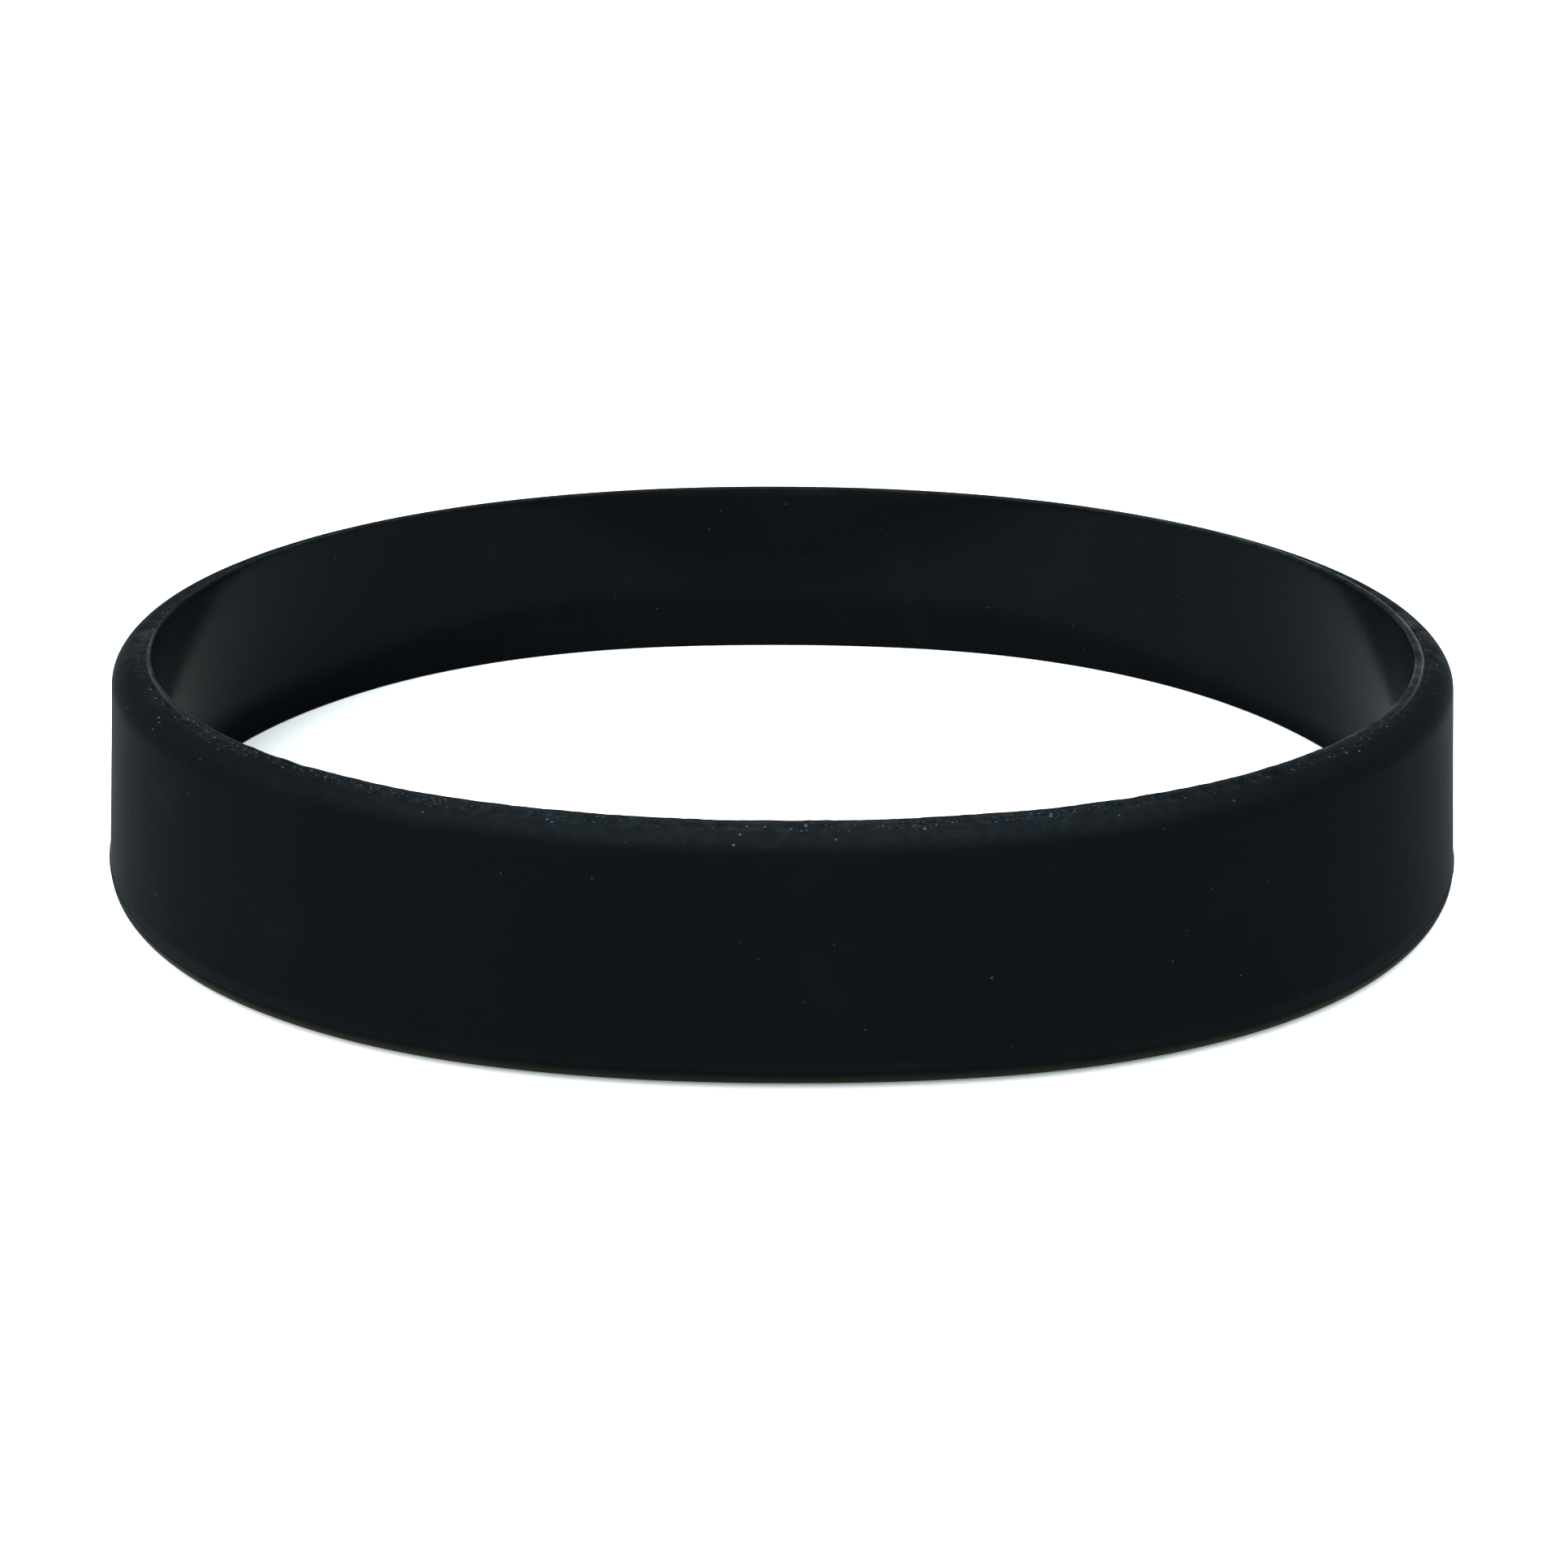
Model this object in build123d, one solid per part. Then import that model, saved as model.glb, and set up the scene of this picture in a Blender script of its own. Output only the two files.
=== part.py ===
from build123d import *
import math
import os

# A silicone wristband: one closed loop of soft rubber, moulded in one piece, lying on its edge.
# Millimetres. +Z is up, the band rests on Z = 0 and its middle is on the Z axis. +X is the long way.

# The band as moulded
band_length = 202.0  # once round, in the middle of the wall and at half height
band_height = 12.0  # width of the band, which stands upright here
wall = 1.8  # thickness of the rubber
outer_edge_radius = 1.0  # full rounding of both outer edges
base_edge_radius = 0.2  # the lower inner edge is nearly sharp

# The trim lip that the mould leaves round the upper inner edge
lip_width = 0.35
lip_height = 0.12
lip_root = 0.4  # how deep the lip runs into the rubber below the upper edge

# How the soft loop sits when nobody holds it
out_of_round = 3.75  # at half height the two ends stand this far out, and the sides this far in
end_lean = 11.0  # degrees, the wall at the two ends of the long way leans out towards the base
side_lean = 6.0  # degrees, the wall at the two sides leans in towards the base

curve_points = 16  # points of the formula that each closed curve passes through

# At half height the loop is 2 pi (r + s^2 / r) long, for a mean radius r and an out-of-round s
circle_radius = band_length / (2 * math.pi)
mean_radius = (circle_radius + math.sqrt(circle_radius**2 - 4 * out_of_round**2)) / 2
end_slope = math.tan(math.radians(end_lean))
side_slope = math.tan(math.radians(side_lean))


def loop_point(turn, height, offset):
    """Point at an angle, a height over the base and an offset out of the middle of the wall."""
    rise = height - band_height / 2
    end_radius = mean_radius + out_of_round - rise * end_slope
    side_radius = mean_radius - out_of_round + rise * side_slope
    swell = (end_radius - side_radius) / 2
    radius = (end_radius + side_radius) / 2 + swell * math.cos(2 * turn)
    radius_change = -2 * swell * math.sin(2 * turn)
    pace = math.hypot(radius, radius_change)
    out_x = (radius * math.cos(turn) + radius_change * math.sin(turn)) / pace
    out_y = (radius * math.sin(turn) - radius_change * math.cos(turn)) / pace
    x = radius * math.cos(turn) + offset * out_x
    y = radius * math.sin(turn) + offset * out_y
    return Vector(x, y, height)


def loop_wire(height, offset):
    """Closed curve of the loop at one height."""
    turns = [2 * math.pi * index / curve_points for index in range(curve_points)]
    points = [loop_point(turn, height, offset) for turn in turns]
    return Wire([Edge.make_spline(points, periodic=True)])


def loop_solid(low, high, offset):
    """Everything inside the leaning loop, between two heights."""
    return Solid.make_loft([loop_wire(low, offset), loop_wire(high, offset)], ruled=True)


def closed_edges(body):
    """The edges that run once round the body, without the seams of its faces."""
    return body.edges().filter_by(lambda edge: edge.is_closed)


def rubber_loop():
    """The moulded band: rounded outside, trim lip on the upper edge, and one smooth hollow through both."""
    outside = loop_solid(0, band_height, wall / 2)
    outside = fillet(closed_edges(outside), outer_edge_radius)
    lip = loop_solid(band_height - lip_root, band_height + lip_height, lip_width - wall / 2)
    hollow = loop_solid(0, band_height + lip_height, -wall / 2)
    body = outside + lip - hollow
    base_edges = closed_edges(body).group_by(Axis.Z)[0]
    inner_base_edge = base_edges.sort_by(lambda edge: edge.length)[0]
    return fillet(inner_base_edge, base_edge_radius)


wristband = rubber_loop()

os.makedirs("parts", exist_ok=True)
export_step(wristband, "parts/wristband.step")
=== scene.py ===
import math
import bpy
from mathutils import Matrix, Vector


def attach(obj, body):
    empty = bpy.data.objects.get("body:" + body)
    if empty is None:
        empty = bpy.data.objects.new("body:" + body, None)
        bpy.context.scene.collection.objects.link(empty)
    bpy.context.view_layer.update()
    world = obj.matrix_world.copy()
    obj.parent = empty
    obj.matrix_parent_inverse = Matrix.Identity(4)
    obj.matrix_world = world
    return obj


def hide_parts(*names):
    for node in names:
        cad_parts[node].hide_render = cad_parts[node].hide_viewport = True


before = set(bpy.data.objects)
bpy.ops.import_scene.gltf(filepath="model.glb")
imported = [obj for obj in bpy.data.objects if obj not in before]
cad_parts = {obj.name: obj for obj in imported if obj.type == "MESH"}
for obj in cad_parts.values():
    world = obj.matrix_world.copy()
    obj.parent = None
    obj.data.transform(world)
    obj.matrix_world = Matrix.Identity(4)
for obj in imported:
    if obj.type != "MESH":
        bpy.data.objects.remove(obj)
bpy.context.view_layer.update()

# The wristband is one closed loop of soft silicone rubber, moulded whole, with rounded outer edges.
# The mould leaves a thin trim lip along the upper inner edge, with a shrink groove beside it, and a
# faint parting ridge on the outside, just above the rounding of the lower edge. Lengths are in metres.
millimetre = 0.001
band_length = 202.0 * millimetre  # once round, in the middle of the wall and at half height
band_height = 12.0 * millimetre
wall = 1.8 * millimetre
outer_edge_radius = 1.0 * millimetre
base_edge_radius = 0.2 * millimetre
lip_width = 0.35 * millimetre
lip_height = 0.12 * millimetre
lip_change = 0.38  # the lip is this share wider at the right end, and as much narrower at the left end
lip_crest = 0.45  # where the lip is highest, as a share of its width
groove_depth = 0.05 * millimetre
groove_side = 0.6  # width of the groove's outer side, as a share of the lip's width
ridge_height = 1.25 * millimetre  # of the ridge's middle, over the base
ridge_width = 0.16 * millimetre  # from the ridge's middle to where it ends
ridge_stand = 0.05 * millimetre
wall_wave = 0.05 * millimetre
out_of_round = 3.75 * millimetre
end_lean = math.radians(11.0)
side_lean = math.radians(6.0)
sections_round = 720


class Socket:
    """One output of a node. Sums, products and powers of sockets add the Math nodes that they stand for."""

    def __init__(self, nodes, output):
        self.nodes = nodes
        self.output = output

    def out(self, name):
        """Another output of the same node."""
        return Socket(self.nodes, self.output.node.outputs[name])

    def __add__(self, other):
        return self.nodes.math("ADD", self, other)

    def __sub__(self, other):
        return self.nodes.math("SUBTRACT", self, other)

    def __mul__(self, other):
        return self.nodes.math("MULTIPLY", self, other)

    def __truediv__(self, other):
        return self.nodes.math("DIVIDE", self, other)

    def __pow__(self, other):
        return self.nodes.math("POWER", self, other)

    def __neg__(self):
        return self.nodes.math("MULTIPLY", self, -1.0)

    def __rsub__(self, other):
        return self.nodes.math("SUBTRACT", other, self)

    __radd__ = __add__
    __rmul__ = __mul__


class Nodes:
    """A node tree that is filled one node at a time, each with its settings and its sockets."""

    def __init__(self, tree):
        self.tree = tree

    def add(self, kind, settings=None, sockets=None):
        """Add a node of a type: settings first, then a value or a link for each named socket."""
        node = self.tree.nodes.new(kind)
        for name, value in (settings or {}).items():
            setattr(node, name, value)
        for name, value in (sockets or {}).items():
            for given in value if isinstance(value, list) else [value]:
                if isinstance(given, Socket):
                    self.tree.links.new(given.output, node.inputs[name])
                else:
                    node.inputs[name].default_value = given
        return Socket(self, node.outputs[0]) if node.outputs else node

    def math(self, operation, *values):
        """A Math node on sockets and numbers."""
        return self.add("ShaderNodeMath", {"operation": operation}, dict(enumerate(values)))

    def vector(self, x, y, z):
        """Three values as one vector."""
        return self.add("ShaderNodeCombineXYZ", None, {"X": x, "Y": y, "Z": z})

    def parts(self, vector):
        """The X part of a vector, whose other outputs are Y and Z."""
        return self.add("ShaderNodeSeparateXYZ", None, {"Vector": vector})

    def noise(self, place, scale, detail, **more):
        """Noise read at a place, of a scale and a detail. A seed is given as W, the fourth dimension."""
        settings = {"noise_dimensions": "4D"} if "W" in more else None
        sockets = {"Vector": place, "Scale": scale, "Detail": detail, **more}
        return self.add("ShaderNodeTexNoise", settings, sockets)

    def mix(self, factor, first, second):
        """A colour between two colours."""
        return self.add("ShaderNodeMix", {"data_type": "RGBA"}, {0: factor, 6: first, 7: second}).out(2)

    def bump(self, value, middle, reach):
        """A smooth hump, 1 where the value is at its middle and 0 past its reach."""
        away = (value - middle) / reach
        return self.math("MAXIMUM", 1.0 - away * away, 0.0) ** 2.0

    def ramp(self, value, start, end):
        """A smooth step, 0 where the value is at its start and 1 from its end on."""
        sockets = {"Value": value, "From Min": start, "From Max": end}
        return self.add("ShaderNodeMapRange", {"interpolation_type": "SMOOTHSTEP"}, sockets)


loop_tree = bpy.data.node_groups.new("rubber loop", "GeometryNodeTree")
loop_sizes = {
    "Band length": band_length,
    "Band height": band_height,
    "Wall": wall,
    "Outer edge radius": outer_edge_radius,
    "Base edge radius": base_edge_radius,
    "Lip width": lip_width,
    "Lip height": lip_height,
    "Lip change": lip_change,
    "Lip crest": lip_crest,
    "Groove depth": groove_depth,
    "Groove side": groove_side,
    "Ridge height": ridge_height,
    "Ridge width": ridge_width,
    "Ridge stand": ridge_stand,
    "Wall wave": wall_wave,
    "Out of round": out_of_round,
    "End lean": end_lean,
    "Side lean": side_lean,
    "Seed": 3.7,
}
for name in loop_sizes:
    loop_tree.interface.new_socket(name, in_out="INPUT", socket_type="NodeSocketFloat")
loop_tree.interface.new_socket("Sections", in_out="INPUT", socket_type="NodeSocketInt")
loop_tree.interface.new_socket("Rubber", in_out="INPUT", socket_type="NodeSocketMaterial")
loop_tree.interface.new_socket("Loop", in_out="OUTPUT", socket_type="NodeSocketGeometry")
loop = Nodes(loop_tree)
size = loop.add("NodeGroupInput")

# The section of the band: x outwards from the middle of the wall, y up from the base
half = size.out("Wall") * 0.5
top = size.out("Band height")
edge_round = size.out("Outer edge radius")
base_round = size.out("Base edge radius")
lip_across = size.out("Lip width")
groove_x = lip_across - half
groove_y = top - size.out("Groove depth")
above_ridge = size.out("Ridge height") * 1.4  # up to here the outer face has its points close together
corner_share = 1.0 - math.sqrt(0.5)  # of its radius, how far the middle of a rounding lies inside each face
edge_in = edge_round * corner_share
base_in = base_round * corner_share
section_points = {
    "base inside": (base_round - half, 0.0),
    "base outside": (half - edge_round, 0.0),
    "base corner": (half - edge_in, edge_in),
    "face start": (half, edge_round),
    "ridge end": (half, above_ridge),
    "face end": (half, top - edge_round),
    "top corner": (half - edge_in, top - edge_in),
    "top outside": (half - edge_round, top),
    "groove side": (groove_x + lip_across * size.out("Groove side"), top),
    "groove": (groove_x, groove_y),
    "lip crest": (lip_across * size.out("Lip crest") - half, top + size.out("Lip height")),
    "lip inside": (-half, groove_y),
    "hollow end": (-half, base_round),
    "hollow corner": (base_in - half, base_in),
}
corners = {name: loop.vector(x, y, 0.0) for name, (x, y) in section_points.items()}

# Each run of the section is a line from start to end, or an arc by way of its middle point
section_runs = (
    {"start": "base inside", "end": "base outside", "points": 7},
    {"start": "base outside", "middle": "base corner", "end": "face start", "points": 12},
    {"start": "face start", "end": "ridge end", "points": 12},
    {"start": "ridge end", "end": "face end", "points": 20},
    {"start": "face end", "middle": "top corner", "end": "top outside", "points": 14},
    {"start": "top outside", "end": "groove side", "points": 5},
    {"start": "groove side", "end": "groove", "points": 4},
    {"start": "groove", "middle": "lip crest", "end": "lip inside", "points": 12},
    {"start": "lip inside", "end": "hollow end", "points": 22},
    {"start": "hollow end", "middle": "hollow corner", "end": "base inside", "points": 5},
)
arc_points = 64  # of an arc before it gets its run's own points
weld_reach = 0.001 * millimetre
runs = []
for row in section_runs:
    ends = {"Start": corners[row["start"]], "End": corners[row["end"]]}
    if "middle" in row:
        arc = {"Middle": corners[row["middle"]], "Resolution": arc_points, **ends}
        run = loop.add("GeometryNodeCurveArc", {"mode": "POINTS"}, arc)
    else:
        run = loop.add("GeometryNodeCurvePrimitiveLine", {"mode": "POINTS"}, ends)
    evenly = {"Curve": run, "Count": row["points"]}
    runs.append(loop.add("GeometryNodeResampleCurve", {"mode": "COUNT"}, evenly))
joined = loop.add("GeometryNodeJoinGeometry", None, {"Geometry": runs})
outline = loop.add("GeometryNodeCurveToMesh", None, {"Curve": joined})
welded = loop.add("GeometryNodeMergeByDistance", None, {"Geometry": outline, "Distance": weld_reach})
section = loop.add(
    "GeometryNodeStoreNamedAttribute",
    {"data_type": "FLOAT_VECTOR", "domain": "POINT"},
    {
        "Geometry": loop.add("GeometryNodeMeshToCurve", None, {"Mesh": welded}),
        "Name": "section",
        "Value": loop.add("GeometryNodeInputPosition"),
    },
)

# The section is swept once round a small circle, and each point then goes to its place on the leaning loop
sweep_radius = 10 * wall
circle = {"Resolution": size.out("Sections"), "Radius": sweep_radius}
path = loop.add(
    "GeometryNodeStoreNamedAttribute",
    {"data_type": "FLOAT", "domain": "POINT"},
    {
        "Geometry": loop.add("GeometryNodeCurvePrimitiveCircle", None, circle),
        "Name": "turn",
        "Value": loop.add("GeometryNodeInputIndex") / size.out("Sections") * math.tau,
    },
)
sweep = loop.add("GeometryNodeCurveToMesh", None, {"Curve": path, "Profile Curve": section})
outward = loop.add("GeometryNodeFlipFaces", None, {"Mesh": sweep})
turn = loop.add("GeometryNodeInputNamedAttribute", {"data_type": "FLOAT"}, {"Name": "turn"})
section_place = loop.add(
    "GeometryNodeInputNamedAttribute", {"data_type": "FLOAT_VECTOR"}, {"Name": "section"}
)
offset = loop.parts(section_place)
height = offset.out("Y")
cosine = loop.math("COSINE", turn)
sine = loop.math("SINE", turn)

# Small unevenness of the moulding: a wavy wall, a ragged lip that changes its width, and an uneven ridge
noise_radius = 32.0  # in millimetres, as the noise is read
wave_scale = 0.09
ragged_scale = 1.3
edge_reach = 0.3 * millimetre
around = loop.vector(cosine * noise_radius, sine * noise_radius, height / millimetre)
seed = size.out("Seed")
wave = loop.noise(around, wave_scale, 2.0, W=seed)
ragged = loop.noise(around, ragged_scale, 3.0, W=seed + 5.0)
lip_rise = loop.math("MAXIMUM", height - top, 0.0)
lip_reach = loop.ramp(offset, -half, groove_x) * loop.ramp(offset, groove_x + lip_across * 2.0, groove_x)
upper_edge = loop.math("GREATER_THAN", height, half)
lip_shift = lip_reach * upper_edge * lip_across * size.out("Lip change")
inner_edge = loop.bump(height, top, edge_reach) * loop.math("LESS_THAN", offset, groove_x)
ridge_bump = loop.bump(height, size.out("Ridge height"), size.out("Ridge width"))
outer_side = loop.math("GREATER_THAN", offset, half * 0.8)
ridge_stands = ridge_bump * outer_side * size.out("Ridge stand")
offset = offset + (wave - 0.5) * 2.0 * size.out("Wall wave") + lip_shift * cosine
offset = offset + ridge_stands * (ragged * 1.6 + 0.2)
offset = offset - inner_edge * (ragged - 0.5) * size.out("Lip height") * 0.5
height = height + lip_rise * (ragged - 0.5) * 1.2

# The closed curve of the loop at each height, and the offset along its outward normal
rise = height - top * 0.5
circle_radius = size.out("Band length") / math.tau
oval = size.out("Out of round")
mean_radius = (circle_radius + loop.math("SQRT", circle_radius * circle_radius - oval * oval * 4.0)) * 0.5
end_radius = mean_radius + oval - rise * loop.math("TANGENT", size.out("End lean"))
side_radius = mean_radius - oval + rise * loop.math("TANGENT", size.out("Side lean"))
swell = (end_radius - side_radius) * 0.5
radius = (end_radius + side_radius) * 0.5 + swell * loop.math("COSINE", turn * 2.0)
radius_change = swell * loop.math("SINE", turn * 2.0) * -2.0
pace = loop.math("SQRT", radius * radius + radius_change * radius_change)
loop_x = radius * cosine + offset * (radius * cosine + radius_change * sine) / pace
loop_y = radius * sine + offset * (radius * sine - radius_change * cosine) / pace
seat = {"Geometry": outward, "Position": loop.vector(loop_x, loop_y, height)}
placed = loop.add("GeometryNodeSetPosition", None, seat)
smooth = loop.add("GeometryNodeSetShadeSmooth", None, {"Geometry": placed})
real = loop.add("GeometryNodeRealizeInstances", None, {"Geometry": smooth})
dressed = loop.add("GeometryNodeSetMaterial", None, {"Geometry": real, "Material": size.out("Rubber")})
loop.add("NodeGroupOutput", None, {"Loop": dressed})


def fresh_nodes(owner):
    """The emptied node tree of a material or a world, ready to be filled."""
    owner.use_nodes = True
    owner.node_tree.nodes.clear()
    return Nodes(owner.node_tree)


# Matte black silicone with a faint cool tint. Its colour also holds painted light: a cool painted
# reflection tint
# # towards both ends, a warm foot that is partly its own colour and partly painted bounce light, a paler
# foot towards
# # both ends that is a painted reflection of the floor, and painted highlight lines along the lip and the
# parting
# # ridge. Outside, the skin is frosted, with dust and scuffs on a mottled rim, and the rim's paleness is
# partly
# # painted sheen. The polished core of the mould leaves the inner wall a little glossier. The section
# attribute
# # gives the place across the wall and over the base, here in millimetres.
deep_black = (0.0017, 0.0023, 0.00275, 1.0)
soft_black = (0.00255, 0.0032, 0.0038, 1.0)
# painted reflection: the cool colour of reflected light, on the inner wall and outer face at both ends
painted_reflection_black = (0.0012, 0.0031, 0.0036, 1.0)  # towards both ends
# along the foot: partly the rubber's own warm colour, partly painted bounce light from the floor
warm_and_bounce_black = (0.0168, 0.0132, 0.008, 1.0)  # along the foot
# painted reflection of the pale floor in the foot
painted_floor_reflection = (0.03, 0.029, 0.0175, 1.0)  # along the foot towards both ends
dust_and_sheen_grey = (0.2, 0.25, 0.29, 1.0)
sheen_tint = (0.8, 0.97, 1.0, 1.0)
silicone = bpy.data.materials.new("matte black silicone")
skin = fresh_nodes(silicone)
where = skin.add("ShaderNodeTexCoord").out("Object")
in_mm = {"Vector": where, "Scale": 1 / millimetre}
where_mm = skin.add("ShaderNodeVectorMath", {"operation": "SCALE"}, in_mm)
sideways_mm = skin.parts(where_mm)
away_mm = sideways_mm.out("Y")
section_place = skin.add("ShaderNodeAttribute", {"attribute_name": "section"}).out("Vector")
section_across = skin.parts(section_place)
across_mm = section_across / millimetre
height_mm = section_across.out("Y") / millimetre

# Noises from fine to coarse, with their scale for each millimetre and their detail
grain = skin.noise(where_mm, 9.0, 4.0, Roughness=0.6)
mottle = skin.ramp(skin.noise(where_mm, 2.2, 5.0), 0.3, 0.75)
peel = skin.noise(where_mm, 1.1, 3.0)
scuffs = skin.noise(where_mm, 0.9, 6.0, Distortion=0.3)
clump = skin.noise(where_mm, 0.35, 2.0)
smudge = skin.noise(where_mm, 0.16, 5.0, Roughness=0.65)
wear = skin.noise(where_mm, 0.07, 3.0)
uneven = wear - 0.5

# Parts of the surface. Each smooth step runs from where the part starts to where it is full.
end_square = sideways_mm * sideways_mm  # of the distance from the middle, along the long way
outside = skin.ramp(across_mm, 0.0, 0.5)
long_sides = skin.ramp(end_square, 450.0, 0.0)
both_ends = skin.ramp(end_square, 600.0, 1180.0)
far_side = skin.ramp(away_mm, 12.0, 28.0)
rim = skin.ramp(height_mm + uneven * 0.3, 11.4, 12.15) * skin.ramp(across_mm, -0.7, -0.55)
crest = rim * skin.ramp(across_mm + uneven * 0.6, 0.1, -0.45)
lip = skin.ramp(across_mm, -0.58, -0.66) * skin.ramp(height_mm, 11.9, 12.05)
face = outside * (1.0 - rim)
ridge = skin.ramp(height_mm, 1.0, 1.25) * skin.ramp(height_mm, 1.9, 1.4) * outside
ridge_ends = skin.ramp(end_square, 300.0, 900.0)
foot = skin.ramp(height_mm, 1.05, 0.4) * outside
foot_ends = skin.ramp(end_square, 400.0, 900.0)
dull_edge = skin.ramp(height_mm + sideways_mm * 0.02 - far_side * 2.4, 0.7, 2.9)
inner_wall = skin.ramp(across_mm, -0.5, -0.6) * dull_edge
# Painted reflection tint: cooler at both ends, inside up to where the reflected dark area starts, and on
# the outer face
painted_cool_inside = inner_wall * both_ends * skin.ramp(away_mm - height_mm * 0.9, -8.0, -5.0)
painted_cool_reflection = painted_cool_inside + face * both_ends * 0.8
scuffed = rim * skin.ramp(end_square, 950.0, 1150.0) * skin.ramp(scuffs, 0.4, 0.7)
scuffed = scuffed * skin.ramp(away_mm - sideways_mm * 0.2, 6.0, 0.0)

# Single specks of several sizes, most of them in clumps on the crest, and finer dust along the crest. Each
# cell of a pattern has a random colour, whose parts choose whether it has a speck, how wide and how pale.
specks_for_each_mm = 4.5
dust_for_each_mm = 9.0
dust_width = 0.4
speck_cells = skin.add("ShaderNodeTexVoronoi", None, {"Vector": where_mm, "Scale": specks_for_each_mm})
speck_choice = skin.parts(speck_cells.out("Color"))
speck_width = speck_choice.out("Y") * 0.2 + 0.1
speck_share = (rim * 0.08 + crest * 0.8) * skin.ramp(clump, 0.35, 0.65) + 0.006
specks = skin.math("LESS_THAN", speck_cells.out("Distance"), speck_width)
specks = specks * skin.math("LESS_THAN", speck_choice, speck_share)
speck_pale = specks * (speck_choice.out("Z") * 0.22 + 0.05) * (rim * 0.65 + 0.35)
dust_cells = skin.add("ShaderNodeTexVoronoi", None, {"Vector": where_mm, "Scale": dust_for_each_mm})
dust_choice = skin.parts(dust_cells.out("Color"))
dust_share = skin.ramp(wear, 0.35, 0.6) * (0.5 - skin.ramp(sideways_mm, 5.0, 20.0) * 0.32)
dust = crest * skin.math("LESS_THAN", dust_choice, dust_share)
dust = dust * skin.math("LESS_THAN", dust_cells.out("Distance"), dust_width) * dust_choice.out("Y")

# How far places are turned from black to pale grey: frost, scuffs, dust and specks, and also painted sheen
# on the
# # rim and painted highlights along the lip and the parting ridge
# The rim is paler with frost all round, and paler still along the two long sides, which is painted sheen of
# the light above
pale = rim * (long_sides * 0.75 + 0.25) * (mottle * 0.012 + 0.0125) + scuffed * 0.055
# painted highlight: a paler line along the lip
pale = pale + crest * mottle * 0.014 + dust * 0.14 + lip * (mottle * 0.022 + 0.005)
# painted highlight: a pale line along the parting ridge, stronger towards both ends
pale = pale + skin.ramp(smudge, 0.55, 0.8) * 0.004 + ridge * wear * (ridge_ends * 0.022 + 0.004)
pale = skin.math("MAXIMUM", pale, speck_pale)
tone = skin.mix(smudge, deep_black, soft_black)
# painted reflection: a cool tint towards both ends
tone = skin.mix(painted_cool_reflection, tone, painted_reflection_black)
# the foot is warmer, partly its own colour and partly painted bounce light, less so along the long sides
tone = skin.mix(foot * (0.82 - long_sides * 0.28), tone, warm_and_bounce_black)
# painted reflection: the foot is paler towards both ends, where it reflects the floor
tone = skin.mix(foot * foot_ends, tone, painted_floor_reflection)
relief = grain * 0.005 + peel * 0.012 + mottle * rim * 0.006 + specks * 0.04 + lip * scuffs * 0.08
lip_dull = lip * (0.48 - skin.ramp(clump, 0.4, 0.6) * 0.3)
rubber = skin.add("ShaderNodeBsdfPrincipled", None, {
    "Base Color": skin.mix(pale, tone, dust_and_sheen_grey),
    "Roughness": 0.42 + smudge * 0.06 + face * 0.045 + rim * 0.1 + pale * 0.4,
    "Normal": skin.add("ShaderNodeBump", None, {"Height": relief, "Distance": millimetre, "Strength": 1.0}),
    "Specular IOR Level": 0.0024,
    "Specular Tint": sheen_tint,
    "Coat Weight": inner_wall * 0.58 - lip_dull,
    "Coat Roughness": 0.17,
    "Coat IOR": 1.11,
})
skin.add("ShaderNodeOutputMaterial", None, {"Surface": rubber})

wristband = bpy.data.objects.new("silicone_band", bpy.data.meshes.new("silicone_band"))
bpy.context.scene.collection.objects.link(wristband)
shaping = wristband.modifiers.new("rubber loop", "NODES")
shaping.node_group = loop_tree
given = dict(loop_sizes, Sections=sections_round, Rubber=silicone)
for item in loop_tree.interface.items_tree:
    if item.in_out == "INPUT":
        shaping[item.identifier] = given[item.name]
evaluated = wristband.evaluated_get(bpy.context.evaluated_depsgraph_get())
finished = bpy.data.meshes.new_from_object(evaluated)
wristband.modifiers.remove(shaping)
wristband.data = finished
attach(wristband, "root")
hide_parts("wristband")

# The floor is a plain pale sheet that the band stands on. It is wide enough to fill the view down to
# the horizon, and has the slight unevenness of matte paper.
floor_reach = 3.0
floor_corners = [(-1, -1), (1, -1), (1, 1), (-1, 1)]
fibre_relief = 0.05 * millimetre
floor_mesh = bpy.data.meshes.new("floor")
floor_points = [(x * floor_reach, y * floor_reach, 0) for x, y in floor_corners]
floor_mesh.from_pydata(floor_points, [], [(0, 1, 2, 3)])
floor = bpy.data.objects.new("floor", floor_mesh)
bpy.context.scene.collection.objects.link(floor)
paper = bpy.data.materials.new("matte white paper")
sheet = fresh_nodes(paper)
spot = sheet.add("ShaderNodeTexCoord").out("Object")
fibre = sheet.noise(spot, 900.0, 3.0)
cloud = sheet.noise(spot, 6.0, 2.0)
tooth = sheet.add("ShaderNodeBump", None, {"Height": fibre, "Distance": fibre_relief, "Strength": 0.3})
matte = sheet.add("ShaderNodeBsdfPrincipled", None, {
    "Base Color": sheet.mix(cloud, (0.89, 0.88, 0.87, 1.0), (0.92, 0.91, 0.90, 1.0)),
    "Roughness": 0.8,
    "Normal": tooth,
    "Specular IOR Level": 0.2,
})
sheet.add("ShaderNodeOutputMaterial", None, {"Surface": matte})
floor_mesh.materials.append(paper)

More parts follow.
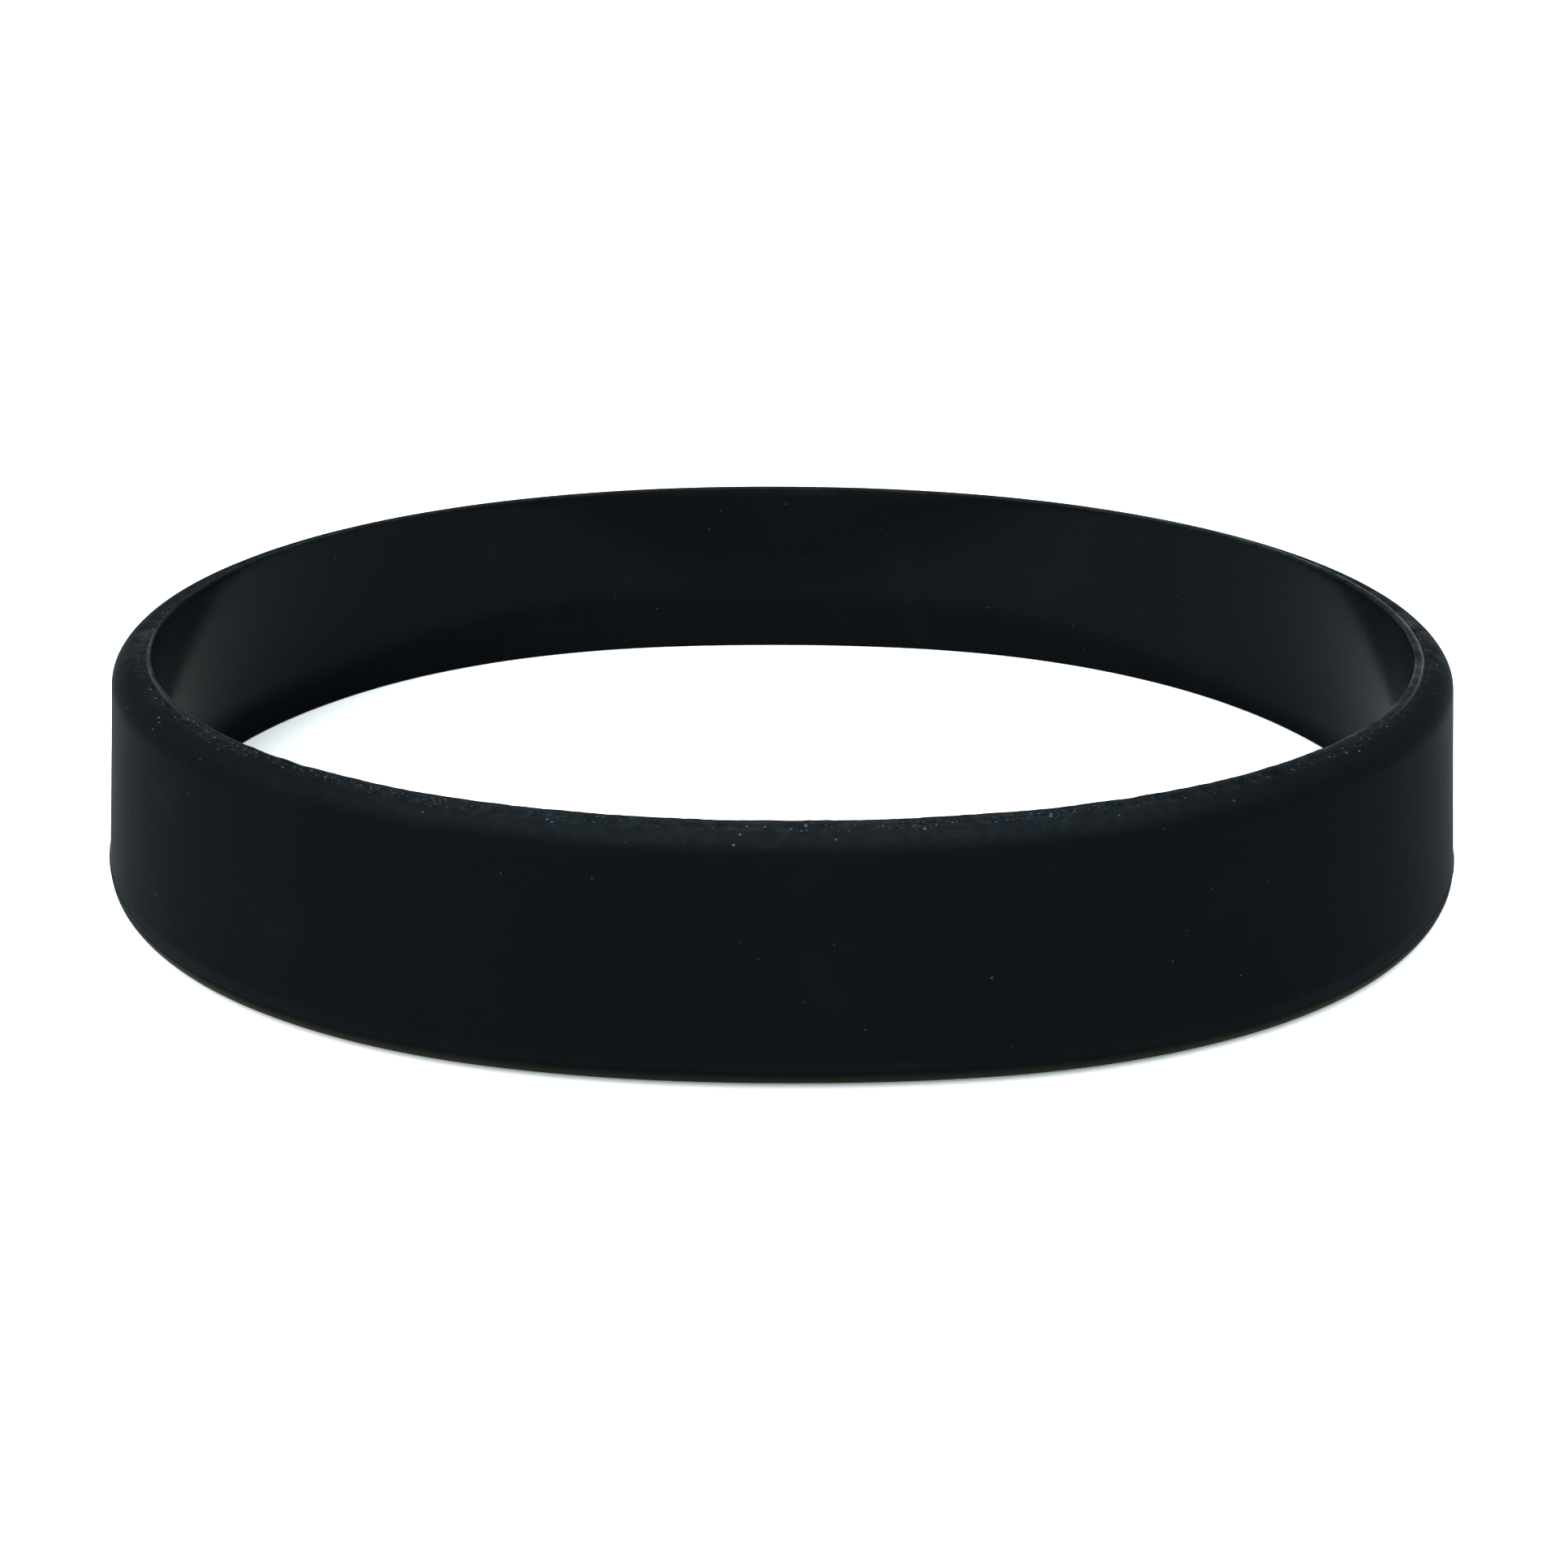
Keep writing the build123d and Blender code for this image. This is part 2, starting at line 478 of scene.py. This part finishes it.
# Soft studio light: one very wide soft light above the camera, a little to the left, in a room that is
# white along the horizon and dimmer above it. Both have the same faint cool tint.
light_tint = (0.91, 1.0, 1.04)
horizon_glow = 1.95
dimmer_above = 1.38
dimmer_in_front = 0.17
sun_strength = 7.9
room = bpy.data.worlds.new("pale room")
air = fresh_nodes(room)
toward = air.parts(air.add("ShaderNodeTexCoord").out("Generated"))
above = air.ramp(toward.out("Z"), 0.1, 0.3)
in_front = air.ramp(toward.out("Y"), 0.3, -0.6)
brightness = horizon_glow - above * (in_front * dimmer_in_front + dimmer_above)
glow = air.add("ShaderNodeBackground", None, {"Color": (*light_tint, 1.0), "Strength": brightness})
air.add("ShaderNodeOutputWorld", None, {"Surface": glow})
bpy.context.scene.world = room
lamp = bpy.data.lights.new("soft light", "SUN")
lamp.angle = math.radians(90.0)
lamp.energy = sun_strength
lamp.color = light_tint
soft_light = bpy.data.objects.new("soft light", lamp)
soft_light.rotation_euler = (math.radians(22.0), math.radians(-12.0), 0.0)
bpy.context.scene.collection.objects.link(soft_light)

# The camera stands where the photograph's camera stood: close to the band, looking down at its middle.
# The photograph is 1932 pixels square, and the middle of the band is at the stated pixel in it.
frame_pixels = 1932
focal_pixels = 1701.4
middle_pixel = (964.1, 861.6)
camera_distance = 80.0 * millimetre
camera_rise = 0.3768  # radians
camera_roll = 0.0042  # radians
sensor_width = 36.0  # millimetres, as the camera counts them
lens = bpy.data.cameras.new("camera")
lens.sensor_width = sensor_width
lens.lens = sensor_width * focal_pixels / frame_pixels
lens.shift_x = (frame_pixels / 2 - middle_pixel[0]) / frame_pixels
lens.shift_y = (middle_pixel[1] - frame_pixels / 2) / frame_pixels
lens.clip_start = millimetre
camera = bpy.data.objects.new("camera", lens)
band_middle = Vector((0.0, 0.0, band_height / 2))
sight = Vector((0.0, math.cos(camera_rise), -math.sin(camera_rise)))
facing = sight.to_track_quat("-Z", "Y").to_matrix().to_4x4()
roll = Matrix.Rotation(camera_roll, 4, "Z")
camera.matrix_world = Matrix.Translation(band_middle - sight * camera_distance) @ facing @ roll
bpy.context.scene.collection.objects.link(camera)
bpy.context.scene.camera = camera
bpy.context.scene.view_settings.view_transform = "Standard"

bpy.context.view_layer.update()
